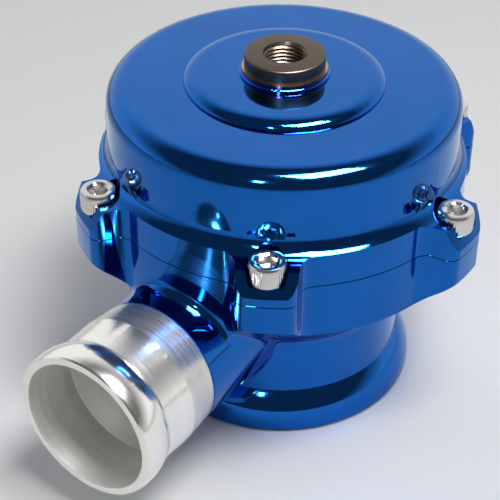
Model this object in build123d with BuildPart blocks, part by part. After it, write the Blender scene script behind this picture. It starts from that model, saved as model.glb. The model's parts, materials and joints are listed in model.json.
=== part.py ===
from build123d import *
import os
from math import acos, degrees, radians, sqrt, tan

# Blow-off valve: a poppet in the inlet flange, lifted by a rolling diaphragm against a spring.
# The valve axis is +Z from the middle of the inlet flange's face, the outlet points along -Y,
# and every length is in millimetres.

# Clearances
press_clearance = 0.01  # metal ring in the bore that holds it
running_clearance = 0.03  # stem in its guide, radial
thread_clearance = 0.05  # male thread in its tapped hole
screw_clearance = 0.25  # screw shank in the cap's drilled hole
rubber_clearance = 0.05  # seal beside the walls of its groove
spigot_clearance = 0.03  # adapter spigot in the branch
end_clearance = 0.25  # end of a spigot above the floor of its socket
roll_clearance = 0.4  # rolling diaphragm beside the housing
skirt_clearance = 0.3  # rolling diaphragm beside the piston skirt
stop_clearance = 0.3  # valve hub below the guide boss at full lift

# Travel
valve_lift = 12.0

# How closely a round face or edge matches the radius it is picked by
radius_match = 0.001

# Valve seat ring and its seals
throat_radius = 22.0
seat_ring_wall = 6.4
seat_ring_height = 8.4
seat_ledge = 0.8
seat_chamfer = 0.3
seat_seal_section = 1.5
seat_seal_height = 3.6
flange_groove_wall = 1.2
flange_groove_width = 2.3
flange_groove_depth = 1.6

# Neck and inlet lip
neck_wall = 2.4
lip_overhang = 3.7
lip_rim_height = 1.6
lip_edge_round = 1.1
lip_shoulder_radius = 12.0

# Drum, conical underside and lugs
drum_overhang = 13.8
drum_side_depth = 13.7
underside_slope = 42.0
underside_round = 6.0
screw_count = 6
screw_circle_offset = 2.9
lug_tip_wall = 4.5
lug_width = 14.0
lug_corner_round = 3.0
lug_root_round = 4.0
parting_rise = 24.5  # parting plane above the outlet's axis
parting_chamfer = 0.15
blank_margin = 0.5  # turned blanks beyond the lug tips

# Side branch and outlet adapter
outlet_height = 27.8
passage_radius = 12.6
spigot_wall = 2.37
branch_wall = 1.43
branch_stub = 6.44
branch_root_round = 2.5
spigot_length = 9.0
spigot_seal_section = 1.2
spigot_seal_inset = 3.4
adapter_length = 25.76
adapter_back_chamfer = 0.45
adapter_shoulder_position = 8.46
adapter_shoulder_step = 0.74
adapter_waist_position = 16.95
adapter_waist_step = 0.5
adapter_groove_width = 0.9
adapter_groove_depth = 0.4
adapter_bead_base_step = 0.85
adapter_bead_step = 1.92
adapter_rim_step = 1.62
adapter_rim_chamfer = 0.35
mouth_wall = 2.0
mouth_depth = 14.0
funnel_length = 8.0

# Guide plate, its boss and the stem seal
lower_chamber_depth = 8.8
clamp_edge_round = 1.0
guide_plate_inset = 3.2
guide_plate_thickness = 3.2
vent_circle_radius = 18.0
vent_count = 4
vent_radius = 1.5
vent_first_angle = 45.0
boss_radius = 10.0
boss_rise = 1.0
stem_radius = 4.0
bushing_wall = 2.5
bushing_recess = 0.5
seal_radius = 8.0
seal_height = 3.0
seal_lip_clearance = 0.06
seal_lip_width = 0.5
seal_back_width = 1.15
seal_valley_offset = 1.9
seal_floor_thickness = 1.2
circlip_thickness = 1.0
circlip_groove_depth = 0.6
circlip_width = 1.5
circlip_land = 0.5
circlip_gap = 4.0
circlip_ear_radius = 1.1
circlip_eye_radius = 0.5
circlip_ear_inset = 0.4

# Valve head
head_overlap = 2.8
head_rim_height = 4.5
head_face_round = 0.5
head_back_round = 1.5
head_slope_height = 1.2
head_hub_radius = 8.0
head_hub_height = 7.5
head_hub_flare = 3.0
head_seal_overlap = 0.6
head_seal_width = 1.4
head_seal_height = 1.8
head_seal_stand = 0.3

# Threads on the stem's ends, and their nuts
stem_thread_radius = 3.0
stem_end_chamfer = 0.5
nut_width = 10.0
nut_height = 5.0
nut_chamfer_angle = 30.0
thread_overrun = 0.8
washer_radius = 6.0
washer_thickness = 1.6

# Diaphragm and its retainers
rest_gap = 1.4
piston_thickness = 2.0
piston_skirt_depth = 1.5
piston_skirt_wall = 1.8
piston_edge_round = 1.0
diaphragm_thickness = 1.2
roll_radius = 1.85
diaphragm_bend_radius = 1.4
bead_wall = 3.4
bead_width = 2.2
clamp_land = 2.0
bead_depth = 2.4
cup_step = 0.8
cup_thickness = 1.5
cup_rim_height = 6.0
cup_pilot_height = 2.5
cup_pilot_wall = 1.4

# Spring
spring_radius = 15.5
spring_wire = 3.0
spring_turns = 4.4
spring_pilot_clearance = 0.3
spring_seat_thickness = 1.0
spring_seat_margin = 1.0

# Cap
cap_wall_inset = 2.3
cap_wall = 3.9
cap_height = 27.2
cap_shoulder_radius = 4.6
cap_roof_thickness = 3.5
cap_flange_height = 7.7
cap_fillet_radius = 4.3
lug_top_radius = 48.8
lug_bevel_height = 2.2
screw_seat_thickness = 4.5
screw_pocket_radius = 5.0
crown_radius = 20.2
crown_foot_radius = 23.5
crown_height = 2.0
spring_recess_radius = 19.5
port_boss_radius = 10.5
port_boss_height = 0.8
port_boss_round = 0.35

# Cap screws, M5 socket heads
screw_radius = 2.5
screw_length = 12.0
screw_hole_spare = 1.5
screw_head_radius = 4.25
screw_head_height = 5.0
screw_head_round = 0.45
screw_tip_chamfer = 0.6
socket_width = 4.0
socket_depth = 2.5

# Pressure port, 1/8 NPT
port_radius = 9.4
port_head_height = 3.4
port_edge_round = 0.4
port_shank_radius = 6.9
port_shank_length = 8.0
port_bore_radius = 4.45
port_mouth_radius = 5.1
port_washer_radius = 9.9
port_washer_thickness = 0.7

# Worked out: radii
seat_bore_radius = throat_radius + seat_ring_wall
chamber_radius = seat_bore_radius - seat_ledge
neck_radius = chamber_radius + neck_wall
lip_radius = neck_radius + lip_overhang
flange_groove_radius = seat_bore_radius + flange_groove_wall
drum_radius = neck_radius + drum_overhang
screw_circle_radius = drum_radius + screw_circle_offset
lug_tip_radius = screw_circle_radius + lug_tip_wall
blank_radius = lug_tip_radius + blank_margin
cap_wall_radius = drum_radius - cap_wall_inset
bead_radius = drum_radius - bead_wall
lower_chamber_radius = bead_radius - bead_width - clamp_land
guide_plate_radius = lower_chamber_radius - guide_plate_inset
outer_fold_radius = lower_chamber_radius - roll_clearance - diaphragm_thickness / 2
inner_fold_radius = outer_fold_radius - 2 * roll_radius
piston_radius = inner_fold_radius - diaphragm_thickness / 2 - skirt_clearance
cup_radius = piston_radius - cup_step
head_radius = throat_radius + head_overlap
head_seal_inner_radius = throat_radius + head_seal_overlap
spigot_radius = passage_radius + spigot_wall
branch_radius = spigot_radius + spigot_clearance + branch_wall
adapter_rim_radius = branch_radius + adapter_rim_step
mouth_radius = adapter_rim_radius - mouth_wall
bushing_radius = stem_radius + bushing_wall
spring_inner_radius = spring_radius - spring_wire / 2

# Worked out: reach of the branch along the outlet's axis
branch_reach = drum_radius + branch_stub

# Worked out: heights on the valve axis
shoulder_angle = degrees(acos(1 - lip_overhang / lip_shoulder_radius))
parting_height = outlet_height + parting_rise
drum_edge_height = parting_height - drum_side_depth
lower_chamber_floor = parting_height - lower_chamber_depth
chamber_ceiling = lower_chamber_floor - guide_plate_thickness
boss_top = lower_chamber_floor + boss_rise
seal_floor = boss_top - circlip_land - circlip_thickness - seal_height
head_face = seat_ring_height + head_seal_stand
hub_top = head_face + head_hub_height
boss_bottom = hub_top + valve_lift + stop_clearance
piston_bottom = boss_top + rest_gap
piston_top = piston_bottom + piston_thickness
diaphragm_top = piston_top + diaphragm_thickness
cup_floor = diaphragm_top + cup_thickness
stem_washer_top = cup_floor + washer_thickness
stem_nut_top = stem_washer_top + nut_height
cap_top = parting_height + cap_height
crown_top = cap_top + crown_height
cap_ceiling = cap_top - cap_roof_thickness
crown_ceiling = crown_top - cap_roof_thickness
port_seat = crown_top + port_boss_height
port_head_bottom = port_seat + port_washer_thickness
port_top = port_head_bottom + port_head_height
screw_seat_height = parting_height + screw_seat_thickness
flange_top = parting_height + cap_flange_height

# Planes and axes of the outlet: x runs outwards along the branch in outlet_profile_plane
outlet_origin = (0, 0, outlet_height)
outlet_axis = Axis(outlet_origin, (0, -1, 0))
outlet_profile_plane = Plane(outlet_origin, x_dir=(0, -1, 0), z_dir=(-1, 0, 0))
outlet_round_plane = Plane(outlet_origin, x_dir=(0, 0, 1), z_dir=(0, -1, 0))


def ring(inner_radius, outer_radius, bottom, top):
    """A plain ring about the valve axis."""
    with BuildPart() as plain_ring:
        with BuildSketch(Plane.XY.offset(bottom)):
            Circle(outer_radius)
            Circle(inner_radius, mode=Mode.SUBTRACT)
        extrude(amount=top - bottom)
    return plain_ring


def hex_nut(bottom):
    """A nut on the stem's thread, with its corners turned off at both faces."""
    corner_radius = nut_width / sqrt(3)
    corner_drop = (corner_radius - nut_width / 2) * tan(radians(nut_chamfer_angle))
    with BuildPart() as nut:
        with BuildSketch(Plane.XY.offset(bottom)):
            RegularPolygon(nut_width / 2, 6, major_radius=False)
            Circle(stem_thread_radius + thread_clearance, mode=Mode.SUBTRACT)
        extrude(amount=nut_height)
        with BuildSketch(Plane.XZ):
            Polygon(
                (0, bottom),
                (nut_width / 2, bottom),
                (corner_radius, bottom + corner_drop),
                (corner_radius, bottom + nut_height - corner_drop),
                (nut_width / 2, bottom + nut_height),
                (0, bottom + nut_height),
                align=None,
            )
        revolve(axis=Axis.Z, mode=Mode.INTERSECT)
    return nut


def housing_blank(outer_radius):
    """Neck, conical underside and plain wall of the housing, turned to an outer radius."""
    underside_rise = tan(radians(underside_slope))
    cone_foot = drum_edge_height - (drum_radius - neck_radius) * underside_rise
    with BuildPart() as blank:
        with BuildSketch(Plane.XZ) as blank_profile:
            Polygon(
                (0, 0),
                (neck_radius, 0),
                (neck_radius, cone_foot),
                (outer_radius, cone_foot + (outer_radius - neck_radius) * underside_rise),
                (outer_radius, parting_height),
                (0, parting_height),
                align=None,
            )
            foot_corner = blank_profile.vertices().sort_by_distance((neck_radius, cone_foot))[0]
            fillet(foot_corner, underside_round)
        revolve(axis=Axis.Z)
    return blank


# Outline shared by the housing and the cap: a round flange with a lug at each screw
with BuildSketch() as flange_outline:
    with PolarLocations(0, screw_count):
        Rectangle(2 * lug_tip_radius, lug_width, align=(Align.MIN, Align.CENTER))
    Circle(lug_tip_radius, mode=Mode.INTERSECT)
    Circle(drum_radius)
    corners = flange_outline.vertices().group_by(SortBy.DISTANCE)
    fillet(corners[-1], lug_corner_round)
    roots = flange_outline.vertices().group_by(SortBy.DISTANCE)[0]
    fillet(roots, lug_root_round)

# Round drum with the side branch, blended where the branch leaves the drum and the neck
with BuildPart() as branched_drum:
    add(housing_blank(drum_radius).part)
    with BuildSketch(outlet_round_plane):
        Circle(branch_radius)
    extrude(amount=branch_reach)
    branch_tube = branched_drum.faces().filter_by(GeomType.CYLINDER).filter_by(
        lambda face: abs(face.radius - branch_radius) < radius_match
    )
    branch_root = branch_tube.edges().filter_by(
        lambda edge: edge.center().Y > branch_root_round - branch_reach and edge.geom_type != GeomType.LINE
    )
    fillet(branch_root, branch_root_round)

# Housing
with BuildPart() as valve_body:
    # Lugs cut to the flange outline from a wider blank, joined with the branched drum
    add(housing_blank(blank_radius).part)
    with BuildSketch():
        add(flange_outline.sketch)
    extrude(amount=parting_height, mode=Mode.INTERSECT)
    add(branched_drum.part)

    # Inlet lip with its rounded shoulder
    with BuildSketch(Plane.XZ) as lip_profile:
        with BuildLine():
            rim = Polyline(
                (chamber_radius, 0),
                (lip_radius, 0),
                (lip_radius, lip_rim_height),
            )
            shoulder = JernArc(rim @ 1, (0, 1), lip_shoulder_radius, shoulder_angle)
            Polyline(
                shoulder @ 1,
                (chamber_radius, (shoulder @ 1).Y),
                rim @ 0,
            )
        make_face()
        lip_corner = lip_profile.vertices().sort_by_distance((lip_radius, 0))[0]
        fillet(lip_corner, lip_edge_round)
    revolve(axis=Axis.Z)
    chamfer(valve_body.faces().sort_by(Axis.Z)[-1].outer_wire().edges(), parting_chamfer)

    # Seat counterbore, flow chamber and seat of the guide plate
    with BuildSketch():
        Circle(seat_bore_radius)
    extrude(amount=seat_ring_height, mode=Mode.SUBTRACT)
    with BuildSketch(Plane.XY.offset(seat_ring_height)):
        Circle(chamber_radius)
    extrude(amount=chamber_ceiling - seat_ring_height, mode=Mode.SUBTRACT)
    with BuildSketch(Plane.XY.offset(chamber_ceiling)):
        Circle(guide_plate_radius + press_clearance)
    extrude(amount=guide_plate_thickness, mode=Mode.SUBTRACT)

    # Passage to the outlet and socket for the adapter's spigot
    with BuildSketch(outlet_round_plane):
        Circle(passage_radius)
    extrude(amount=branch_reach, mode=Mode.SUBTRACT)
    socket_floor = branch_reach - spigot_length - end_clearance
    with BuildSketch(outlet_round_plane.offset(socket_floor)):
        Circle(spigot_radius + spigot_clearance)
    extrude(amount=spigot_length + end_clearance, mode=Mode.SUBTRACT)

    # Lower diaphragm chamber, clamping rebate and bead groove
    with BuildSketch(Plane.XY.offset(parting_height)):
        Circle(bead_radius + rubber_clearance)
    extrude(amount=-diaphragm_thickness, mode=Mode.SUBTRACT)
    with BuildSketch(Plane.XY.offset(parting_height)):
        Circle(lower_chamber_radius)
    extrude(amount=-lower_chamber_depth, mode=Mode.SUBTRACT)
    clamp_edge = valve_body.edges().filter_by(GeomType.CIRCLE).filter_by(
        lambda edge: abs(edge.radius - lower_chamber_radius) < radius_match
    )
    fillet(clamp_edge.sort_by(Axis.Z)[-1], clamp_edge_round)
    with BuildSketch(Plane.XY.offset(parting_height)):
        Circle(bead_radius + rubber_clearance)
        Circle(bead_radius - bead_width - rubber_clearance, mode=Mode.SUBTRACT)
    extrude(amount=-bead_depth - rubber_clearance, mode=Mode.SUBTRACT)

    # Tapped holes for the cap screws
    with BuildSketch(Plane.XY.offset(parting_height)):
        with PolarLocations(screw_circle_radius, screw_count):
            Circle(screw_radius + thread_clearance)
    tapped_depth = screw_length - screw_seat_thickness + screw_hole_spare
    extrude(amount=-tapped_depth, mode=Mode.SUBTRACT)

    # Face groove for the flange seal
    with BuildSketch():
        Circle(flange_groove_radius + flange_groove_width)
        Circle(flange_groove_radius, mode=Mode.SUBTRACT)
    extrude(amount=flange_groove_depth, mode=Mode.SUBTRACT)

# Cap
with BuildPart() as actuator_cap:
    bevel_slope = (cap_flange_height - lug_bevel_height) / (lug_tip_radius - lug_top_radius)
    bevel_start = parting_height + lug_bevel_height - blank_margin * bevel_slope
    with BuildSketch(Plane.XZ) as cap_profile:
        with BuildLine():
            lug_bevel = Polyline(
                (0, parting_height),
                (blank_radius, parting_height),
                (blank_radius, bevel_start),
                (lug_top_radius, flange_top),
                (cap_wall_radius + cap_fillet_radius, flange_top),
            )
            wall_foot = RadiusArc(
                lug_bevel @ 1,
                (cap_wall_radius, flange_top + cap_fillet_radius),
                cap_fillet_radius,
            )
            wall = Line(wall_foot @ 1, (cap_wall_radius, cap_top - cap_shoulder_radius))
            shoulder = JernArc(wall @ 1, (0, 1), cap_shoulder_radius, 90)
            deck = Line(shoulder @ 1, (crown_foot_radius, cap_top))
            crown_edge = EllipticalCenterArc(
                (crown_radius, cap_top),
                crown_foot_radius - crown_radius,
                crown_height,
                start_angle=0,
                arc_size=90,
            )
            Polyline(
                crown_edge @ 1,
                (port_boss_radius, crown_top),
                (port_boss_radius, port_seat),
                (0, port_seat),
                (0, parting_height),
            )
        make_face()
        boss_corner = cap_profile.vertices().sort_by_distance((port_boss_radius, port_seat))[0]
        fillet(boss_corner, port_boss_round)
    revolve(axis=Axis.Z)
    with BuildSketch(Plane.XY.offset(parting_height)):
        add(flange_outline.sketch)
    extrude(amount=port_seat - parting_height, mode=Mode.INTERSECT)
    chamfer(actuator_cap.faces().sort_by(Axis.Z)[0].outer_wire().edges(), parting_chamfer)

    # Spring chamber under the dome, and the recess that centres the spring
    inner_wall_radius = cap_wall_radius - cap_wall
    inner_shoulder_radius = cap_shoulder_radius + cap_roof_thickness - cap_wall
    with BuildSketch(Plane.XY.offset(parting_height)):
        Circle(inner_wall_radius)
    extrude(amount=cap_ceiling - parting_height, mode=Mode.SUBTRACT)
    chamber_edge = actuator_cap.edges().filter_by(GeomType.CIRCLE).filter_by(
        lambda edge: abs(edge.radius - inner_wall_radius) < radius_match
    )
    fillet(chamber_edge.sort_by(Axis.Z)[-1], inner_shoulder_radius)
    with BuildSketch(Plane.XY.offset(cap_ceiling)):
        Circle(spring_recess_radius)
    extrude(amount=crown_ceiling - cap_ceiling, mode=Mode.SUBTRACT)

    # Threaded hole for the pressure port
    with BuildSketch(Plane.XY.offset(crown_ceiling)):
        Circle(port_shank_radius + thread_clearance)
    extrude(amount=port_seat - crown_ceiling, mode=Mode.SUBTRACT)

    # Spot-faced screw seats and clearance holes
    with BuildSketch(Plane.XY.offset(screw_seat_height)):
        with PolarLocations(screw_circle_radius, screw_count):
            Circle(screw_pocket_radius)
    extrude(amount=flange_top + cap_fillet_radius - screw_seat_height, mode=Mode.SUBTRACT)
    with BuildSketch(Plane.XY.offset(parting_height)):
        with PolarLocations(screw_circle_radius, screw_count):
            Circle(screw_radius + screw_clearance)
    extrude(amount=screw_seat_thickness, mode=Mode.SUBTRACT)

# Cap screws
with BuildPart() as cap_screws:
    head_top = screw_seat_height + screw_head_height
    with BuildSketch(Plane.XY.offset(screw_seat_height)):
        with PolarLocations(screw_circle_radius, screw_count):
            Circle(screw_head_radius)
    extrude(amount=screw_head_height)
    fillet(cap_screws.edges().group_by(Axis.Z)[-1], screw_head_round)
    with BuildSketch(Plane.XY.offset(head_top)):
        with PolarLocations(screw_circle_radius, screw_count):
            RegularPolygon(socket_width / 2, 6, major_radius=False)
    extrude(amount=-socket_depth, mode=Mode.SUBTRACT)
    with BuildSketch(Plane.XY.offset(screw_seat_height)):
        with PolarLocations(screw_circle_radius, screw_count):
            Circle(screw_radius)
    extrude(amount=-screw_length)
    chamfer(cap_screws.edges().group_by(Axis.Z)[0], screw_tip_chamfer)

# Pressure port and its sealing washer
with BuildPart() as pressure_port:
    with BuildSketch(Plane.XY.offset(port_head_bottom)):
        Circle(port_radius)
    extrude(amount=port_head_height)
    fillet(pressure_port.edges().group_by(Axis.Z)[-1], port_edge_round)
    with BuildSketch(Plane.XY.offset(port_head_bottom)):
        Circle(port_shank_radius)
    extrude(amount=-port_shank_length)
    with BuildSketch(Plane.XY.offset(port_top)):
        Circle(port_bore_radius)
    extrude(amount=-port_head_height - port_shank_length, mode=Mode.SUBTRACT)
    bore_mouth = pressure_port.faces().sort_by(Axis.Z)[-1].inner_wires()[0].edges()
    chamfer(bore_mouth, port_mouth_radius - port_bore_radius)
port_washer = ring(port_shank_radius + thread_clearance, port_washer_radius, port_seat, port_head_bottom)

# Outlet adapter: spigot, sleeve with a shoulder and a waist, relief groove, bead and funnel bore
with BuildPart() as outlet_adapter:
    mouth_reach = branch_reach + adapter_length
    shoulder_reach = branch_reach + adapter_shoulder_position
    groove_start = branch_reach + adapter_waist_position
    bead_start = groove_start + adapter_groove_width
    groove_floor_radius = branch_radius + adapter_waist_step - adapter_groove_depth
    funnel_end = mouth_reach - mouth_depth - funnel_length
    seal_position = branch_reach - spigot_seal_inset
    with BuildSketch(outlet_profile_plane):
        with BuildLine():
            sleeve = Polyline(
                (branch_reach - spigot_length, passage_radius),
                (branch_reach - spigot_length, spigot_radius),
                (branch_reach, spigot_radius),
                (branch_reach, branch_radius - adapter_back_chamfer),
                (branch_reach + adapter_back_chamfer, branch_radius),
                (shoulder_reach, branch_radius + adapter_shoulder_step),
                (groove_start, branch_radius + adapter_waist_step),
            )
            groove = ThreePointArc(
                sleeve @ 1,
                ((groove_start + bead_start) / 2, groove_floor_radius),
                (bead_start, branch_radius + adapter_bead_base_step),
            )
            bead = ThreePointArc(
                groove @ 1,
                ((bead_start + mouth_reach) / 2, branch_radius + adapter_bead_step),
                (mouth_reach - adapter_rim_chamfer, adapter_rim_radius),
            )
            Polyline(
                bead @ 1,
                (mouth_reach, adapter_rim_radius - adapter_rim_chamfer),
                (mouth_reach, mouth_radius),
                (mouth_reach - mouth_depth, mouth_radius),
                (funnel_end, passage_radius),
                (branch_reach - spigot_length, passage_radius),
            )
        make_face()
        with Locations((seal_position, spigot_radius)):
            Rectangle(2 * spigot_seal_section, 2 * spigot_seal_section, mode=Mode.SUBTRACT)
    revolve(axis=outlet_axis)

with BuildPart() as outlet_o_ring:
    seal_middle = spigot_radius + (spigot_clearance - spigot_seal_section) / 2
    with BuildSketch(outlet_profile_plane):
        with Locations((seal_position, seal_middle)):
            Circle(spigot_seal_section / 2 - rubber_clearance / 2)
    revolve(axis=outlet_axis)

# Seat ring, its own seal, and the flange's face seal
with BuildPart() as seat_ring:
    groove_width = seat_seal_section + 2 * rubber_clearance
    with BuildSketch(Plane.XZ):
        ring_radius = seat_bore_radius - press_clearance
        Polygon(
            (throat_radius, 0),
            (ring_radius, 0),
            (ring_radius, seat_ring_height),
            (throat_radius + seat_chamfer, seat_ring_height),
            (throat_radius, seat_ring_height - seat_chamfer),
            align=None,
        )
        with Locations((ring_radius, seat_seal_height)):
            Rectangle(2 * seat_seal_section, groove_width, mode=Mode.SUBTRACT)
    revolve(axis=Axis.Z)

with BuildPart() as seat_o_ring:
    with BuildSketch(Plane.XZ):
        with Locations((seat_bore_radius - seat_seal_section / 2, seat_seal_height)):
            Circle(seat_seal_section / 2 - rubber_clearance)
    revolve(axis=Axis.Z)

with BuildPart() as flange_o_ring:
    with BuildSketch(Plane.XZ):
        with Locations((flange_groove_radius + flange_groove_width / 2, flange_groove_depth / 2)):
            Ellipse(
                flange_groove_width / 2 - rubber_clearance,
                flange_groove_depth / 2 - rubber_clearance,
            )
    revolve(axis=Axis.Z)

# Guide plate: closes the flow chamber and carries the boss for the stem
with BuildPart() as guide_plate:
    with BuildSketch(Plane.XY.offset(chamber_ceiling)):
        Circle(guide_plate_radius)
    extrude(amount=guide_plate_thickness)
    with BuildSketch(Plane.XY.offset(boss_bottom)):
        Circle(boss_radius)
    extrude(amount=boss_top - boss_bottom)
    with BuildSketch(Plane.XY.offset(boss_bottom)):
        Circle(bushing_radius + press_clearance)
    extrude(amount=boss_top - boss_bottom, mode=Mode.SUBTRACT)
    with BuildSketch(Plane.XY.offset(seal_floor)):
        Circle(seal_radius)
    extrude(amount=boss_top - seal_floor, mode=Mode.SUBTRACT)
    with BuildSketch(Plane.XY.offset(seal_floor + seal_height)):
        Circle(seal_radius + circlip_groove_depth)
    extrude(amount=circlip_thickness, mode=Mode.SUBTRACT)
    with BuildSketch(Plane.XY.offset(chamber_ceiling)):
        with PolarLocations(vent_circle_radius, vent_count, vent_first_angle):
            Circle(vent_radius)
    extrude(amount=guide_plate_thickness, mode=Mode.SUBTRACT)

# Stem guide, lip seal and circlip
guide_bushing = ring(
    stem_radius + running_clearance,
    bushing_radius,
    boss_bottom + bushing_recess,
    seal_floor,
)

with BuildPart() as stem_seal:
    seal_inner_radius = stem_radius + seal_lip_clearance
    seal_outer_radius = seal_radius - rubber_clearance
    seal_top = seal_floor + seal_height
    with BuildSketch(Plane.XZ):
        Polygon(
            (seal_inner_radius, seal_floor),
            (seal_outer_radius, seal_floor),
            (seal_outer_radius, seal_top),
            (seal_outer_radius - seal_back_width, seal_top),
            (seal_inner_radius + seal_valley_offset, seal_floor + seal_floor_thickness),
            (seal_inner_radius + seal_lip_width, seal_top),
            (seal_inner_radius, seal_top),
            align=None,
        )
    revolve(axis=Axis.Z)

with BuildPart() as seal_retaining_ring:
    circlip_radius = seal_radius + circlip_groove_depth - rubber_clearance
    ear_circle = circlip_radius - circlip_width
    with BuildSketch(Plane.XY.offset(seal_floor + seal_height)):
        Circle(circlip_radius)
        Circle(circlip_radius - circlip_width, mode=Mode.SUBTRACT)
        with Locations((ear_circle, 0)):
            Rectangle(4 * circlip_width, circlip_gap, mode=Mode.SUBTRACT)
        ear_offset = circlip_gap / 2 + circlip_ear_radius
        ear_reach = ear_circle - circlip_ear_inset
        with Locations((ear_reach, ear_offset), (ear_reach, -ear_offset)):
            Circle(circlip_ear_radius)
            Circle(circlip_eye_radius, mode=Mode.SUBTRACT)
    extrude(amount=circlip_thickness)

# Stem, shouldered at both ends
with BuildPart() as valve_stem:
    stem_bottom = head_face - nut_height - thread_overrun
    stem_top = stem_nut_top + thread_overrun
    with BuildSketch(Plane.XY.offset(stem_bottom)):
        Circle(stem_thread_radius)
    extrude(amount=stem_top - stem_bottom)
    chamfer(valve_stem.edges().filter_by(GeomType.CIRCLE), stem_end_chamfer)
    with BuildSketch(Plane.XY.offset(hub_top)):
        Circle(stem_radius)
    extrude(amount=piston_bottom - hub_top)

# Valve head, face seal and nut
with BuildPart() as valve_head:
    rim_top = head_face + head_rim_height
    with BuildSketch(Plane.XZ) as head_profile:
        Polygon(
            (stem_thread_radius + thread_clearance, head_face),
            (head_radius, head_face),
            (head_radius, rim_top),
            (head_hub_radius + head_hub_flare, rim_top + head_slope_height),
            (head_hub_radius, hub_top),
            (stem_thread_radius + thread_clearance, hub_top),
            align=None,
        )
        back_corner = head_profile.vertices().sort_by_distance((head_radius, rim_top))[0]
        fillet(back_corner, head_back_round)
        face_corner = head_profile.vertices().sort_by_distance((head_radius, head_face))[0]
        fillet(face_corner, head_face_round)
        with Locations((head_seal_inner_radius, head_face)):
            Rectangle(
                head_seal_width,
                head_seal_height - head_seal_stand,
                align=(Align.MIN, Align.MIN),
                mode=Mode.SUBTRACT,
            )
    revolve(axis=Axis.Z)

head_seal = ring(
    head_seal_inner_radius + rubber_clearance,
    head_seal_inner_radius + head_seal_width - rubber_clearance,
    seat_ring_height,
    seat_ring_height + head_seal_height,
)
head_nut = hex_nut(head_face - nut_height)

# Diaphragm piston: plate and short skirt that the diaphragm rolls on
with BuildPart() as diaphragm_piston:
    with BuildSketch(Plane.XZ) as piston_profile:
        Polygon(
            (stem_thread_radius + thread_clearance, piston_bottom),
            (piston_radius - piston_skirt_wall, piston_bottom),
            (piston_radius - piston_skirt_wall, piston_bottom - piston_skirt_depth),
            (piston_radius, piston_bottom - piston_skirt_depth),
            (piston_radius, piston_top),
            (stem_thread_radius + thread_clearance, piston_top),
            align=None,
        )
        rolling_corner = piston_profile.vertices().sort_by_distance((piston_radius, piston_top))[0]
        fillet(rolling_corner, piston_edge_round)
    revolve(axis=Axis.Z)

# Rolling diaphragm: clamped bead, one fold that hangs between wall and skirt, and a flat middle
with BuildPart() as diaphragm:
    web_level = parting_height - diaphragm_thickness / 2
    middle_level = piston_top + diaphragm_thickness / 2
    fold_level = lower_chamber_floor + roll_clearance + diaphragm_thickness / 2 + roll_radius
    bead_middle = bead_radius - bead_width / 2
    with BuildSketch(Plane.XZ):
        with BuildLine():
            clamped = FilletPolyline(
                (bead_middle, web_level),
                (outer_fold_radius, web_level),
                (outer_fold_radius, fold_level),
                radius=diaphragm_bend_radius,
            )
            fold = JernArc(clamped @ 1, (0, -1), roll_radius, -180)
            FilletPolyline(
                fold @ 1,
                (inner_fold_radius, middle_level),
                (stem_thread_radius + thread_clearance, middle_level),
                radius=diaphragm_bend_radius,
            )
        trace(line_width=diaphragm_thickness)
        with Locations((bead_radius, parting_height)):
            Rectangle(bead_width, bead_depth, align=(Align.MAX, Align.MAX))
    revolve(axis=Axis.Z)

# Upper retainer, which also seats the spring, and its washer and nut
with BuildPart() as diaphragm_cup:
    pilot_radius = spring_inner_radius - spring_pilot_clearance
    with BuildSketch(Plane.XY.offset(diaphragm_top)):
        Circle(cup_radius)
        Circle(stem_thread_radius + thread_clearance, mode=Mode.SUBTRACT)
    extrude(amount=cup_thickness)
    with BuildSketch(Plane.XY.offset(cup_floor)):
        Circle(cup_radius)
        Circle(cup_radius - cup_thickness, mode=Mode.SUBTRACT)
    extrude(amount=cup_rim_height - cup_thickness)
    with BuildSketch(Plane.XY.offset(cup_floor)):
        Circle(pilot_radius)
        Circle(pilot_radius - cup_pilot_wall, mode=Mode.SUBTRACT)
    extrude(amount=cup_pilot_height)
stem_washer = ring(stem_thread_radius + thread_clearance, washer_radius, cup_floor, stem_washer_top)
stem_nut = hex_nut(stem_washer_top)

# Spring between the cup and a steel washer under the cap's crown, with ground ends
spring_top = crown_ceiling - spring_seat_thickness
upper_spring_seat = ring(
    spring_inner_radius - spring_seat_margin,
    spring_recess_radius - spring_pilot_clearance,
    spring_top,
    crown_ceiling,
)
with BuildPart() as spring:
    spring_height = spring_top - cup_floor
    with BuildLine() as spring_path:
        Helix(spring_height / spring_turns, spring_height, spring_radius, center=(0, 0, cup_floor))
    with BuildSketch(Plane(spring_path.line @ 0, z_dir=spring_path.line % 0)):
        Circle(spring_wire / 2)
    sweep()
    with BuildSketch(Plane.XY.offset(cup_floor)):
        Circle(spring_radius + spring_wire)
    extrude(amount=spring_height, mode=Mode.INTERSECT)

pieces = {
    "valve_body": valve_body,
    "actuator_cap": actuator_cap,
    "cap_screws": cap_screws,
    "pressure_port": pressure_port,
    "port_washer": port_washer,
    "outlet_adapter": outlet_adapter,
    "outlet_o_ring": outlet_o_ring,
    "seat_ring": seat_ring,
    "seat_o_ring": seat_o_ring,
    "flange_o_ring": flange_o_ring,
    "guide_plate": guide_plate,
    "guide_bushing": guide_bushing,
    "stem_seal": stem_seal,
    "seal_retaining_ring": seal_retaining_ring,
    "valve_stem": valve_stem,
    "valve_head": valve_head,
    "head_seal": head_seal,
    "head_nut": head_nut,
    "diaphragm_piston": diaphragm_piston,
    "diaphragm": diaphragm,
    "diaphragm_cup": diaphragm_cup,
    "stem_washer": stem_washer,
    "stem_nut": stem_nut,
    "upper_spring_seat": upper_spring_seat,
    "spring": spring,
}
os.makedirs("parts", exist_ok=True)
for name, piece in pieces.items():
    piece.part.label = name
    export_step(piece.part, f"parts/{name}.step")
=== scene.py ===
import json
from math import cos, pi, radians, sin, sqrt

import bmesh
import bpy
from mathutils import Matrix, Vector


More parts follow.
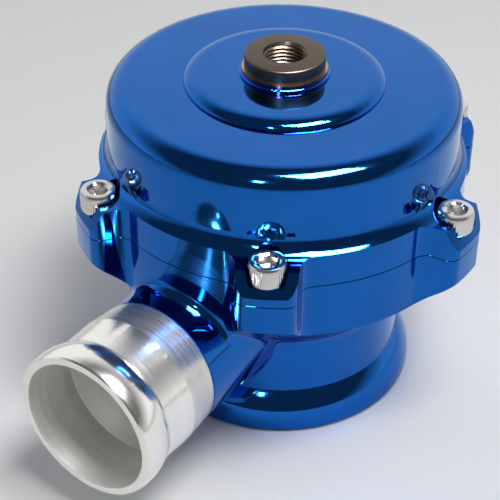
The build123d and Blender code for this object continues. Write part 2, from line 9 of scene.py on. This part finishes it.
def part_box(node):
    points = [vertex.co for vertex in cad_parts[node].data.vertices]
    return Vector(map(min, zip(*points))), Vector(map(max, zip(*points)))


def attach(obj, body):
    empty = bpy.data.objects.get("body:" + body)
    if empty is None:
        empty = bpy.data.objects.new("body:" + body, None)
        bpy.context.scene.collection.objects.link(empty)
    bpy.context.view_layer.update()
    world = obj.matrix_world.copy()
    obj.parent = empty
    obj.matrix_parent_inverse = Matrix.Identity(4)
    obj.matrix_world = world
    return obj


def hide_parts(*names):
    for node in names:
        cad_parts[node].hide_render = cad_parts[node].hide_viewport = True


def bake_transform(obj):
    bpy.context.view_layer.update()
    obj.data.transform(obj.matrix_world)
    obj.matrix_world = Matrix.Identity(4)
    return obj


# Blow-off valve. Metres, in the row frame: the valve axis is +Z and the outlet points along -Y.

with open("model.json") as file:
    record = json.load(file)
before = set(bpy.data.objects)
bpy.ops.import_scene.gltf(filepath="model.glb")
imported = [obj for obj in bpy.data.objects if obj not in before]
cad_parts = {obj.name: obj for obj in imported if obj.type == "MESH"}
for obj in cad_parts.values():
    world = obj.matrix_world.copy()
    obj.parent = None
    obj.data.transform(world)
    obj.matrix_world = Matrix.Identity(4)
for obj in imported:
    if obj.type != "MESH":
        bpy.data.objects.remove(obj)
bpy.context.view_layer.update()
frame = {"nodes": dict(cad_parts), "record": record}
nodes = frame["nodes"]

# Camera, solved from the round edges in the photograph
CAMERA_PLACE = Vector((0.16265, -0.24730, 0.24665))
CAMERA_YAW = radians(-34.81)
CAMERA_PITCH = radians(36.16)
CAMERA_ROLL = radians(0.51)
CAMERA_LENS = 105.17
CAMERA_NEAR = 0.01
CAMERA_FAR = 20.0
SENSOR = 36.0


def heading(azimuth, elevation):
    """Unit vector from the object towards a light or the camera; azimuth 0 is the -Y side."""
    a, e = radians(azimuth), radians(elevation)
    return Vector((sin(a) * cos(e), -cos(a) * cos(e), sin(e)))


def make_camera():
    level_reach = cos(CAMERA_PITCH)
    forward = Vector((sin(CAMERA_YAW) * level_reach, cos(CAMERA_YAW) * level_reach, -sin(CAMERA_PITCH)))
    level = forward.cross(Vector((0, 0, 1))).normalized()
    upright = level.cross(forward)
    right = level * cos(CAMERA_ROLL) + upright * sin(CAMERA_ROLL)
    up = upright * cos(CAMERA_ROLL) - level * sin(CAMERA_ROLL)
    data = bpy.data.cameras.new("camera")
    data.lens = CAMERA_LENS
    data.sensor_width = SENSOR
    data.clip_start = CAMERA_NEAR
    data.clip_end = CAMERA_FAR
    camera = bpy.data.objects.new("camera", data)
    turn = Matrix((right, up, -forward)).transposed().to_4x4()
    camera.matrix_world = Matrix.Translation(CAMERA_PLACE) @ turn
    bpy.context.scene.collection.objects.link(camera)
    bpy.context.scene.camera = camera


make_camera()


class Nodes:
    """A small wrapper that adds nodes to a material's or a world's tree and links them."""

    def __init__(self, tree):
        self.tree = tree

    def add(self, kind, **inputs):
        node = self.tree.nodes.new(kind)
        for name, value in inputs.items():
            socket = name.replace("_", " ")
            self.feed(node.inputs[socket] if socket in node.inputs else node.inputs[name], value)
        return node

    def feed(self, socket, value):
        if isinstance(value, bpy.types.NodeSocket):
            self.tree.links.new(value, socket)
        else:
            socket.default_value = value

    def math(self, operation, *values):
        node = self.tree.nodes.new("ShaderNodeMath")
        node.operation = operation
        for socket, value in zip(node.inputs, values):
            self.feed(socket, value)
        return node.outputs[0]

    def scaled(self, vector, scale):
        node = self.tree.nodes.new("ShaderNodeVectorMath")
        node.operation = "MULTIPLY"
        self.feed(node.inputs[0], vector)
        node.inputs[1].default_value = scale
        return node.outputs[0]

    def split(self, vector):
        node = self.add("ShaderNodeSeparateXYZ", Vector=vector)
        return node.outputs[0], node.outputs[1], node.outputs[2]

    def round_axis(self, vector):
        """Distance from the Z axis and height, so that a texture fed by them runs round the axis."""
        x, y, z = self.split(vector)
        return self.add("ShaderNodeCombineXYZ", X=self.distance(x, y), Y=z).outputs[0]

    def distance(self, x, y):
        squares = self.math("ADD", self.math("MULTIPLY", x, x), self.math("MULTIPLY", y, y))
        return self.math("SQRT", squares)

    def blend(self, factor, first, second):
        node = self.tree.nodes.new("ShaderNodeMix")
        node.data_type = "RGBA"
        colours = [socket for socket in node.inputs if socket.type == "RGBA"]
        self.feed(node.inputs[0], factor)
        self.feed(colours[0], first)
        self.feed(colours[1], second)
        return [socket for socket in node.outputs if socket.type == "RGBA"][0]

    def noise(self, vector, scale, detail=2.0, roughness=0.5):
        node = self.add("ShaderNodeTexNoise", Vector=vector, Scale=scale, Detail=detail, Roughness=roughness)
        return node.outputs["Fac"]

    def ramp(self, value, stops):
        node = self.add("ShaderNodeValToRGB", Fac=value)
        elements = node.color_ramp.elements
        while len(elements) < len(stops):
            elements.new(0.5)
        for element, (position, colour) in zip(elements, stops):
            element.position = position
            element.color = colour
        return node.outputs["Color"]

    def span(self, value, low, high, to_low, to_high):
        node = self.add("ShaderNodeMapRange")
        self.feed(node.inputs["Value"], value)
        self.feed(node.inputs["From Min"], low)
        self.feed(node.inputs["From Max"], high)
        self.feed(node.inputs["To Min"], to_low)
        self.feed(node.inputs["To Max"], to_high)
        return node.outputs["Result"]

    def bump(self, height, distance, normal=None):
        node = self.add("ShaderNodeBump", Height=height, Distance=distance, Strength=1.0)
        if normal is not None:
            self.feed(node.inputs["Normal"], normal)
        return node.outputs["Normal"]


def new_material(name):
    """A material, with the helper for its nodes, its Principled shader and its object coordinates."""
    material = bpy.data.materials.new(name)
    material.use_nodes = True
    helper = Nodes(material.node_tree)
    shader = material.node_tree.nodes["Principled BSDF"]
    place = helper.add("ShaderNodeTexCoord").outputs["Object"]
    return material, helper, shader, place


def tint(colour, factor=1.0):
    return (*(channel * factor for channel in colour), 1.0)


# Part of a noise's range that is spread over a ramp or a span: the rest of it is rare
NOISE_RANGE = (0.3, 0.7)
LINES_RANGE = (0.25, 0.75)


def mottled(n, value, colour, dark, light):
    """A colour that wanders with a noise between two strengths."""
    low, high = NOISE_RANGE
    return n.ramp(value, [(low, tint(colour, dark)), (high, tint(colour, light))])


# Blue anodised aluminium: a dyed, polished metal with the last lathe marks round the valve axis, under a thin
# clear oxide that pales it where it is seen edge on
ANODISE_BLUE = (0.009, 0.116, 0.455)
ANODISE_EDGE = (0.8, 0.93, 1.0)
OXIDE_IOR = 1.1
OXIDE_GLOSS = 0.05
ANODISE_TINTS = (0.94, 1.05)
ANODISE_CLOUD_FREQUENCY = 60.0
ANODISE_GLOSS = (0.045, 0.085)
ANODISE_GLOSS_FREQUENCY = 240.0
LATHE_FREQUENCY = 2600.0
LATHE_DEPTH = 0.0000009
POLISH_FREQUENCY = 420.0
POLISH_DEPTH = 0.000002


def blue_anodise():
    material, n, shader, place = new_material("blue_anodise")
    cloud = n.noise(place, ANODISE_CLOUD_FREQUENCY, detail=4.0)
    n.feed(shader.inputs["Base Color"], mottled(n, cloud, ANODISE_BLUE, *ANODISE_TINTS))
    haze = n.noise(place, ANODISE_GLOSS_FREQUENCY, detail=3.0)
    n.feed(shader.inputs["Roughness"], n.span(haze, *NOISE_RANGE, *ANODISE_GLOSS))
    shader.inputs["Metallic"].default_value = 1.0
    lathe_marks = n.noise(n.round_axis(place), LATHE_FREQUENCY)
    polish = n.bump(n.noise(place, POLISH_FREQUENCY), POLISH_DEPTH)
    relief = n.bump(lathe_marks, LATHE_DEPTH, polish)
    n.feed(shader.inputs["Normal"], relief)
    n.feed(shader.inputs["Coat Normal"], relief)
    shader.inputs["Specular Tint"].default_value = tint(ANODISE_EDGE)
    shader.inputs["Coat Weight"].default_value = 1.0
    shader.inputs["Coat Roughness"].default_value = OXIDE_GLOSS
    shader.inputs["Coat IOR"].default_value = OXIDE_IOR
    return material


# Lowest and highest gloss of a metal, as multiples of its mean
METAL_GLOSS = (0.75, 1.3)


def uneven_gloss(n, shader, value, value_range, rough, spread):
    """Roughness that wanders with a noise between two multiples of its mean."""
    n.feed(shader.inputs["Roughness"], n.span(value, *value_range, *(rough * factor for factor in spread)))


# Turned metal: fine lines and wider bands that run round the part, and a slow cloud over both
ROUND_STRETCH = 0.012
LINE_FREQUENCY = 7000.0
LINE_ROUGHNESS = 0.65
TURNED_CLOUD_FREQUENCY = 90.0


def lines_round(n, place, axis):
    """The stretch of a texture along an axis, and fine lines round that axis in the same stretch."""
    along = tuple(1.0 if k == axis else ROUND_STRETCH for k in range(3))
    return along, n.noise(n.scaled(place, along), LINE_FREQUENCY, detail=3.0, roughness=LINE_ROUGHNESS)


def mixed(n, first, second, share):
    """The first value with its share, and the second with the rest."""
    return n.math("ADD", n.math("MULTIPLY", first, share), n.math("MULTIPLY", second, 1.0 - share))


# Bare aluminium adapter: a satin sleeve up to the shoulder with painted shade in its colour, a finer waist, a
# polished bead, a bored inside
adapter_low, adapter_high = (Vector(corner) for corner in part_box("outlet_adapter"))
SHOULDER_FROM_MOUTH = 0.0173
GROOVE_FROM_MOUTH = 0.00836
SHOULDER_REACH = -adapter_low.y - SHOULDER_FROM_MOUTH
GROOVE_REACH = -adapter_low.y - GROOVE_FROM_MOUTH
ZONE_EDGE = 0.00006
OUTLET_AXIS = 1
BORE_RADIUS = 0.0162
BORE_EDGE = 0.00002
TURNING_DEPTH = 0.000002
WAIST_RELIEF = 0.35
BAND_STRETCH = 0.03
BAND_FREQUENCY = 520.0
ADAPTER_COLOUR = (0.9, 0.88, 0.85)
OUTER_TINTS = (0.93, 1.04)
# Painted shade: this factor darkens the sleeve's colour to stand for the darker reflection it shows
SLEEVE_PAINTED_SHADE = 0.78
SLEEVE_PAINTED_SHADE_TINTS = (0.88 * SLEEVE_PAINTED_SHADE, 1.08 * SLEEVE_PAINTED_SHADE)
BORE_COLOUR = (0.9, 0.885, 0.86)
BORE_TINTS = (0.86, 1.08)
BORE_METALLIC = 0.4
BORE_GLOSS = 0.42
SLEEVE_GLOSS = 0.28
WAIST_GLOSS = 0.18
BEAD_GLOSS = 0.16
LINE_GLOSS = (0.8, 1.25)
ADAPTER_BAND_SHARE = 0.5


def adapter_aluminium():
    material, n, shader, place = new_material("adapter_aluminium")
    x, y, z = n.split(place)
    reach = n.math("MULTIPLY", y, -1.0)
    past_shoulder = n.span(reach, SHOULDER_REACH - ZONE_EDGE, SHOULDER_REACH + ZONE_EDGE, 0.0, 1.0)
    past_groove = n.span(reach, GROOVE_REACH - ZONE_EDGE, GROOVE_REACH + ZONE_EDGE, 0.0, 1.0)
    height = n.math("SUBTRACT", z, (adapter_low.z + adapter_high.z) / 2)
    inside = n.span(n.distance(x, height), BORE_RADIUS + BORE_EDGE, BORE_RADIUS - BORE_EDGE, 0.0, 1.0)
    lines = lines_round(n, place, OUTLET_AXIS)[1]
    bands = n.noise(n.scaled(place, (BAND_STRETCH, 1.0, BAND_STRETCH)), BAND_FREQUENCY)
    cloud = n.noise(place, TURNED_CLOUD_FREQUENCY, detail=4.0)
    shade = mixed(n, bands, cloud, ADAPTER_BAND_SHARE)
    waist = mottled(n, shade, ADAPTER_COLOUR, *OUTER_TINTS)
    bored = mottled(n, shade, BORE_COLOUR, *BORE_TINTS)
    # The sleeve's colour, darkened with painted shade
    sleeve = mottled(n, shade, ADAPTER_COLOUR, *SLEEVE_PAINTED_SHADE_TINTS)
    n.feed(shader.inputs["Base Color"], n.blend(inside, n.blend(past_shoulder, sleeve, waist), bored))
    gloss = n.span(past_shoulder, 0.0, 1.0, SLEEVE_GLOSS, WAIST_GLOSS)
    gloss = n.math("ADD", gloss, n.math("MULTIPLY", past_groove, BEAD_GLOSS - WAIST_GLOSS))
    outer_gloss = n.math("MULTIPLY", gloss, n.math("SUBTRACT", 1.0, inside))
    gloss = n.math("ADD", outer_gloss, n.math("MULTIPLY", inside, BORE_GLOSS))
    n.feed(shader.inputs["Roughness"], n.math("MULTIPLY", gloss, n.span(lines, *LINES_RANGE, *LINE_GLOSS)))
    n.feed(shader.inputs["Metallic"], n.span(inside, 0.0, 1.0, 1.0, BORE_METALLIC))
    relief = n.math("MULTIPLY", lines, n.span(past_shoulder, 0.0, 1.0, 1.0, WAIST_RELIEF))
    n.feed(shader.inputs["Normal"], n.bump(relief, TURNING_DEPTH))
    return material


# Sealing washer: gold, with a painted reflection of the blue housing that runs through magenta to blue
# towards its lower edge
WASHER_GOLD_TO_PAINTED_BLUE = (
    (0.0, (0.1, 0.06, 0.6)),
    (0.3, (0.34, 0.04, 0.4)),
    (0.6, (0.62, 0.06, 0.16)),
    (0.95, (0.52, 0.34, 0.13)),
)
WASHER_WANDER = 0.12
WASHER_WANDER_FREQUENCY = 180.0
WASHER_GLOSS = (0.1, 0.2)
WASHER_GLOSS_FREQUENCY = 900.0


def washer_gold_painted_reflection():
    material, n, shader, place = new_material("washer_gold_painted_reflection")
    low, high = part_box("port_washer")
    z = n.split(place)[2]
    drift = n.noise(place, WASHER_WANDER_FREQUENCY, detail=3.0)
    wander = n.span(drift, *NOISE_RANGE, -WASHER_WANDER, WASHER_WANDER)
    # Painted reflection: the colour turns from gold through magenta to blue towards the lower edge
    level = n.math("ADD", n.span(z, low[2], high[2], 0.0, 1.0), wander)
    n.feed(shader.inputs["Base Color"], n.ramp(level, [(stop, tint(colour)) for stop, colour in WASHER_GOLD_TO_PAINTED_BLUE]))
    haze = n.noise(place, WASHER_GLOSS_FREQUENCY)
    n.feed(shader.inputs["Roughness"], n.span(haze, *NOISE_RANGE, *WASHER_GLOSS))
    shader.inputs["Metallic"].default_value = 1.0
    return material


TURNED_TINTS = (0.88, 1.08)
TURNED_DEPTH = 0.0000022
LINES_PER_BAND = 9
TURNED_BAND_SHARE = 0.6


def turned_metal(name, colour, axis, rough):
    """Bare metal with fine lathe lines round an axis."""
    material, n, shader, place = new_material(name)
    along, lines = lines_round(n, place, axis)
    bands = n.noise(n.scaled(place, along), LINE_FREQUENCY / LINES_PER_BAND)
    cloud = n.noise(place, TURNED_CLOUD_FREQUENCY, detail=4.0)
    shade = mixed(n, bands, cloud, TURNED_BAND_SHARE)
    n.feed(shader.inputs["Base Color"], mottled(n, shade, colour, *TURNED_TINTS))
    uneven_gloss(n, shader, lines, LINES_RANGE, rough, METAL_GLOSS)
    shader.inputs["Metallic"].default_value = 1.0
    n.feed(shader.inputs["Normal"], n.bump(lines, TURNED_DEPTH))
    return material


GRAIN_TINTS = (0.9, 1.08)
GRAIN_CLOUD_FREQUENCY = 160.0
GRAIN_FREQUENCY = 700.0
GRAIN_DEPTH = 0.000002


def smooth_metal(name, colour, rough):
    """Metal with a fine even grain and a slightly uneven gloss."""
    material, n, shader, place = new_material(name)
    cloud = n.noise(place, GRAIN_CLOUD_FREQUENCY, detail=4.0)
    n.feed(shader.inputs["Base Color"], mottled(n, cloud, colour, *GRAIN_TINTS))
    speckle = n.noise(place, GRAIN_FREQUENCY, detail=3.0)
    uneven_gloss(n, shader, speckle, NOISE_RANGE, rough, METAL_GLOSS)
    shader.inputs["Metallic"].default_value = 1.0
    n.feed(shader.inputs["Normal"], n.bump(speckle, GRAIN_DEPTH))
    return material


RUBBER_TINTS = (0.8, 1.3)
RUBBER_ROUGHNESS = 0.6
RUBBER_GLOSS = (0.85, 1.15)
RUBBER_FREQUENCY = 1500.0
RUBBER_DEPTH = 0.00001


def rubber(name, colour):
    material, n, shader, place = new_material(name)
    speckle = n.noise(place, RUBBER_FREQUENCY, detail=4.0)
    n.feed(shader.inputs["Base Color"], mottled(n, speckle, colour, *RUBBER_TINTS))
    uneven_gloss(n, shader, speckle, NOISE_RANGE, RUBBER_ROUGHNESS, RUBBER_GLOSS)
    n.feed(shader.inputs["Normal"], n.bump(speckle, RUBBER_DEPTH))
    return material


VALVE_AXIS = 2

finishes = {
    "blue_anodise": blue_anodise(),
    "raw_aluminium": adapter_aluminium(),
    "stainless_steel": smooth_metal("stainless_steel", (0.66, 0.635, 0.62), 0.16),
    "dark_bronze": turned_metal("dark_bronze", (0.098, 0.078, 0.06), VALVE_AXIS, 0.33),
    "gold_washer": washer_gold_painted_reflection(),
    "black_rubber": rubber("black_rubber", (0.02, 0.02, 0.02)),
    "turned_steel": turned_metal("turned_steel", (0.62, 0.61, 0.6), VALVE_AXIS, 0.25),
    "guide_bronze": smooth_metal("guide_bronze", (0.5, 0.31, 0.13), 0.35),
    "phosphated_steel": smooth_metal("phosphated_steel", (0.07, 0.07, 0.075), 0.45),
    "inner_aluminium": turned_metal("inner_aluminium", (0.74, 0.74, 0.75), VALVE_AXIS, 0.27),
    "diaphragm_rubber": rubber("diaphragm_rubber", (0.03, 0.027, 0.024)),
    "spring_steel": smooth_metal("spring_steel", (0.3, 0.3, 0.31), 0.3),
}
slots = {subpart["node"]: subpart["material_slot"] for subpart in frame["record"]["subparts"]}
for name, slot in slots.items():
    nodes[name].data.materials.clear()
    nodes[name].data.materials.append(finishes[slot])


def swept_mesh(name, rings):
    """A closed mesh from rings of points, each ring joined to the next and the last to the first."""
    count = len(rings[0])
    faces = []
    for k in range(len(rings)):
        here, there = k * count, (k + 1) % len(rings) * count
        for j in range(count):
            faces.append((here + j, here + (j + 1) % count, there + (j + 1) % count, there + j))
    mesh = bpy.data.meshes.new(name)
    mesh.from_pydata([point for ring in rings for point in ring], [], faces)
    return mesh


# Edges that turn more than this many degrees stay sharp
SHARP_ANGLE = 32.0


def place_piece(name, mesh, slot, node, body="housing"):
    """Link a detailed piece that stands for a CAD node, and give it its finish and its body."""
    build = bmesh.new()
    build.from_mesh(mesh)
    bmesh.ops.recalc_face_normals(build, faces=build.faces)
    build.to_mesh(mesh)
    build.free()
    mesh.shade_smooth()
    mesh.set_sharp_from_angle(angle=radians(SHARP_ANGLE))
    piece = bpy.data.objects.new(name, mesh)
    bpy.context.scene.collection.objects.link(piece)
    mesh.materials.append(finishes[slot])
    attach(piece, body)
    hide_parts(node)


# Pressure port: a turned fitting with the tapped thread cut into its bore
PORT_SEGMENTS = 96
PORT_HEAD_HEIGHT = 0.0034
PORT_SHANK_RADIUS = 0.0069
PORT_BORE_RADIUS = 0.00445
PORT_MOUTH_RADIUS = 0.0051
PORT_EDGE_ROUND = 0.0004
PORT_EDGE_STEPS = 4
THREAD_PITCH = 0.000941
THREAD_DEPTH = 0.00055
THREAD_STEPS = 10
THREAD_FLANK_SLOPE = 2.4
THREAD_RUNOUT = 0.0009


def threaded_port():
    low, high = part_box("pressure_port")
    radius = (high[0] - low[0]) / 2
    top, bottom = high[2], low[2]
    shoulder = top - PORT_HEAD_HEIGHT
    mouth_end = top - (PORT_MOUTH_RADIUS - PORT_BORE_RADIUS)
    rows = int((mouth_end - bottom) / THREAD_PITCH * THREAD_STEPS)
    rings = []
    for k in range(PORT_SEGMENTS):
        turn = k / PORT_SEGMENTS
        outline = [(PORT_BORE_RADIUS, bottom), (PORT_SHANK_RADIUS, bottom), (PORT_SHANK_RADIUS, shoulder)]
        outline.append((radius, shoulder))
        for step in range(PORT_EDGE_STEPS + 1):
            angle = pi / 2 * step / PORT_EDGE_STEPS
            outline.append(
                (radius - PORT_EDGE_ROUND * (1 - cos(angle)), top - PORT_EDGE_ROUND * (1 - sin(angle)))
            )
        outline.append((PORT_MOUTH_RADIUS, top))
        for row in range(rows):
            height = mouth_end + (bottom - mouth_end) * row / rows
            phase = (height / THREAD_PITCH - turn) % 1.0
            groove = min(1.0, THREAD_FLANK_SLOPE * min(phase, 1.0 - phase))
            fade = min(1.0, (height - bottom) / THREAD_RUNOUT)
            outline.append((PORT_BORE_RADIUS + THREAD_DEPTH * groove * fade, height))
        angle = 2 * pi * turn
        rings.append([(r * cos(angle), r * sin(angle), height) for r, height in outline])
    place_piece("threaded_port", swept_mesh("threaded_port", rings), "dark_bronze", "pressure_port")


# Cap screws: knurled heads with a chamfered hexagon socket, each turned by its own angle in degrees
SCREW_COUNT = 6
SCREW_HEAD_RADIUS = 0.00425
SCREW_HEAD_HEIGHT = 0.005
SCREW_SHANK_RADIUS = 0.0025
SCREW_CHAMFER = 0.00055
CHAMFER_SPREAD = 1.2
CHAMFER_CROWN = 0.2
SCREW_TIP = 0.0006
KNURL_COUNT = 48
KNURL_STEPS = 4
KNURL_DEPTH = 0.00009
KNURL_RUNOUT = 0.0002
KNURL_END_GAP = 0.0002
SOCKET_WIDTH = 0.004
SOCKET_DEPTH = 0.0026
SOCKET_CHAMFER = 0.00035
SOCKET_POINT_RADIUS = 0.0004
SOCKET_POINT_DEPTH = 0.0006
SOCKET_TURNS = (12.0, 47.0, 25.0, 5.0, 33.0, 52.0)


def screw_rings(centre, top, bottom, turned):
    """Rings of one screw, from the tip of its shank up and over the head to the floor of its socket.

    Each level has a radius, a height, the share of the knurl that it shows, and whether it is a hexagon.
    """
    x, y = centre
    seat = top - SCREW_HEAD_HEIGHT
    count = KNURL_COUNT * KNURL_STEPS
    smooth_radius = SCREW_HEAD_RADIUS - KNURL_DEPTH
    collar = top - SCREW_CHAMFER
    spread = CHAMFER_SPREAD * SCREW_CHAMFER
    levels = [
        (SCREW_SHANK_RADIUS - SCREW_TIP, bottom, 0.0, False),
        (SCREW_SHANK_RADIUS, bottom + SCREW_TIP, 0.0, False),
        (SCREW_SHANK_RADIUS, seat, 0.0, False),
        (SCREW_HEAD_RADIUS - KNURL_END_GAP, seat, 0.0, False),
        (smooth_radius, seat + KNURL_END_GAP, 0.0, False),
        (SCREW_HEAD_RADIUS, seat + KNURL_END_GAP + KNURL_RUNOUT, 1.0, False),
        (SCREW_HEAD_RADIUS, collar - KNURL_END_GAP - KNURL_RUNOUT / 2, 1.0, False),
        (smooth_radius, collar - KNURL_END_GAP, 0.0, False),
        (smooth_radius, collar, 0.0, False),
        (SCREW_HEAD_RADIUS - spread / 2, top - CHAMFER_CROWN * SCREW_CHAMFER, 0.0, False),
        (SCREW_HEAD_RADIUS - spread, top, 0.0, False),
        (SOCKET_WIDTH / sqrt(3) + SOCKET_CHAMFER, top, 0.0, False),
        (SOCKET_WIDTH / 2, top - SOCKET_CHAMFER, 0.0, True),
        (SOCKET_WIDTH / 2, top - SOCKET_DEPTH, 0.0, True),
        (SOCKET_POINT_RADIUS, top - SOCKET_DEPTH - SOCKET_POINT_DEPTH, 0.0, False),
    ]
    rings = []
    for radius, height, knurl, hexagon in levels:
        ring = []
        for k in range(count):
            angle = 2 * pi * k / count
            tooth = abs((k % KNURL_STEPS) - KNURL_STEPS / 2) / (KNURL_STEPS / 2)
            reach = radius - knurl * KNURL_DEPTH * tooth
            if hexagon:
                reach = radius / cos((angle % (pi / 3)) - pi / 6)
            spin = angle + turned
            ring.append((x + reach * cos(spin), y + reach * sin(spin), height))
        rings.append(ring)
    return rings


def knurled_screws():
    low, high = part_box("cap_screws")
    circle = (high[0] - low[0]) / 2 - SCREW_HEAD_RADIUS
    vertices, faces = [], []
    for k in range(SCREW_COUNT):
        angle = 2 * pi * k / SCREW_COUNT
        centre = (circle * cos(angle), circle * sin(angle))
        rings = screw_rings(centre, high[2], low[2], radians(SOCKET_TURNS[k]))
        count = len(rings[0])
        start = len(vertices)
        for ring in rings:
            vertices.extend(ring)
        for level in range(len(rings) - 1):
            here = start + level * count
            for j in range(count):
                after = (j + 1) % count
                faces.append((here + j, here + after, here + count + after, here + count + j))
        faces.append(tuple(start + j for j in reversed(range(count))))
        faces.append(tuple(start + (len(rings) - 1) * count + j for j in range(count)))
    mesh = bpy.data.meshes.new("knurled_screws")
    mesh.from_pydata(vertices, [], faces)
    place_piece("knurled_screws", mesh, "stainless_steel", "cap_screws")


def lifting_piece(name, node):
    """A copy of a soft or sprung CAD piece, put in place of its hidden CAD node."""
    piece = bpy.data.objects.new(name, nodes[node].data.copy())
    bpy.context.scene.collection.objects.link(piece)
    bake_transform(piece)
    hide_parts(node)


def lifting_pieces():
    lifting_piece("lifting_spring", "spring")
    lifting_piece("lifting_diaphragm", "diaphragm")


threaded_port()
knurled_screws()
lifting_pieces()

# Studio: a pale floor, a pale surround with a dark part on the camera's side, and soft lamps
FLOOR_SIZE = 3.0
FLOOR_COLOUR = (0.82, 0.825, 0.83)
FLOOR_TINTS = (0.99, 1.01)
FLOOR_FREQUENCY = 3.0
FLOOR_ROUGHNESS = 0.85
LAMP_TARGET = Vector((0, 0, 0.04))
DARK_HEADING = heading(34.8, 50.0)
DARK_INNER = 64.0
DARK_OUTER = 88.0
SURROUND = 0.95
DARK_LEVEL = 0.12


def make_floor():
    half = FLOOR_SIZE / 2
    mesh = bpy.data.meshes.new("floor")
    corners = [(-half, -half, 0), (half, -half, 0), (half, half, 0), (-half, half, 0)]
    mesh.from_pydata(corners, [], [(0, 1, 2, 3)])
    floor = bpy.data.objects.new("floor", mesh)
    bpy.context.scene.collection.objects.link(floor)
    material, n, shader, place = new_material("floor_paper")
    cloud = n.noise(place, FLOOR_FREQUENCY)
    n.feed(shader.inputs["Base Color"], mottled(n, cloud, FLOOR_COLOUR, *FLOOR_TINTS))
    shader.inputs["Roughness"].default_value = FLOOR_ROUGHNESS
    mesh.materials.append(material)


def make_world():
    world = bpy.data.worlds.new("studio")
    world.use_nodes = True
    bpy.context.scene.world = world
    n = Nodes(world.node_tree)
    direction = n.add("ShaderNodeTexCoord").outputs["Generated"]
    towards = n.tree.nodes.new("ShaderNodeVectorMath")
    towards.operation = "DOT_PRODUCT"
    n.feed(towards.inputs[0], direction)
    towards.inputs[1].default_value = DARK_HEADING
    outer, inner = cos(radians(DARK_OUTER)), cos(radians(DARK_INNER))
    level = n.span(towards.outputs["Value"], outer, inner, SURROUND, DARK_LEVEL)
    background = world.node_tree.nodes["Background"]
    n.feed(background.inputs["Strength"], level)
    background.inputs["Color"].default_value = (1.0, 1.0, 1.0, 1.0)


def soft_lamp(name, azimuth, elevation, distance, width, depth, power, glint=False):
    """A rectangular lamp that faces the middle of the object; a glint lamp shows in reflections alone."""
    data = bpy.data.lights.new(name, "AREA")
    data.shape = "RECTANGLE"
    data.size = width
    data.size_y = depth
    data.energy = power
    lamp = bpy.data.objects.new(name, data)
    side = heading(azimuth, elevation)
    lamp.location = LAMP_TARGET + side * distance
    lamp.rotation_mode = "QUATERNION"
    lamp.rotation_quaternion = side.to_track_quat("Z", "Y")
    lamp.visible_diffuse = not glint
    bpy.context.scene.collection.objects.link(lamp)


make_floor()
make_world()
soft_lamp("key_lamp", azimuth=79.0, elevation=68.0, distance=0.7, width=0.34, depth=0.24, power=3.0)
soft_lamp(
    "key_glint", azimuth=79.0, elevation=68.0, distance=0.69, width=0.34, depth=0.24, power=22.0, glint=True
)
soft_lamp(
    "front_glint", azimuth=19.0, elevation=35.5, distance=0.9, width=0.06, depth=0.12, power=1.8, glint=True
)

bpy.context.scene.view_settings.view_transform = "Standard"
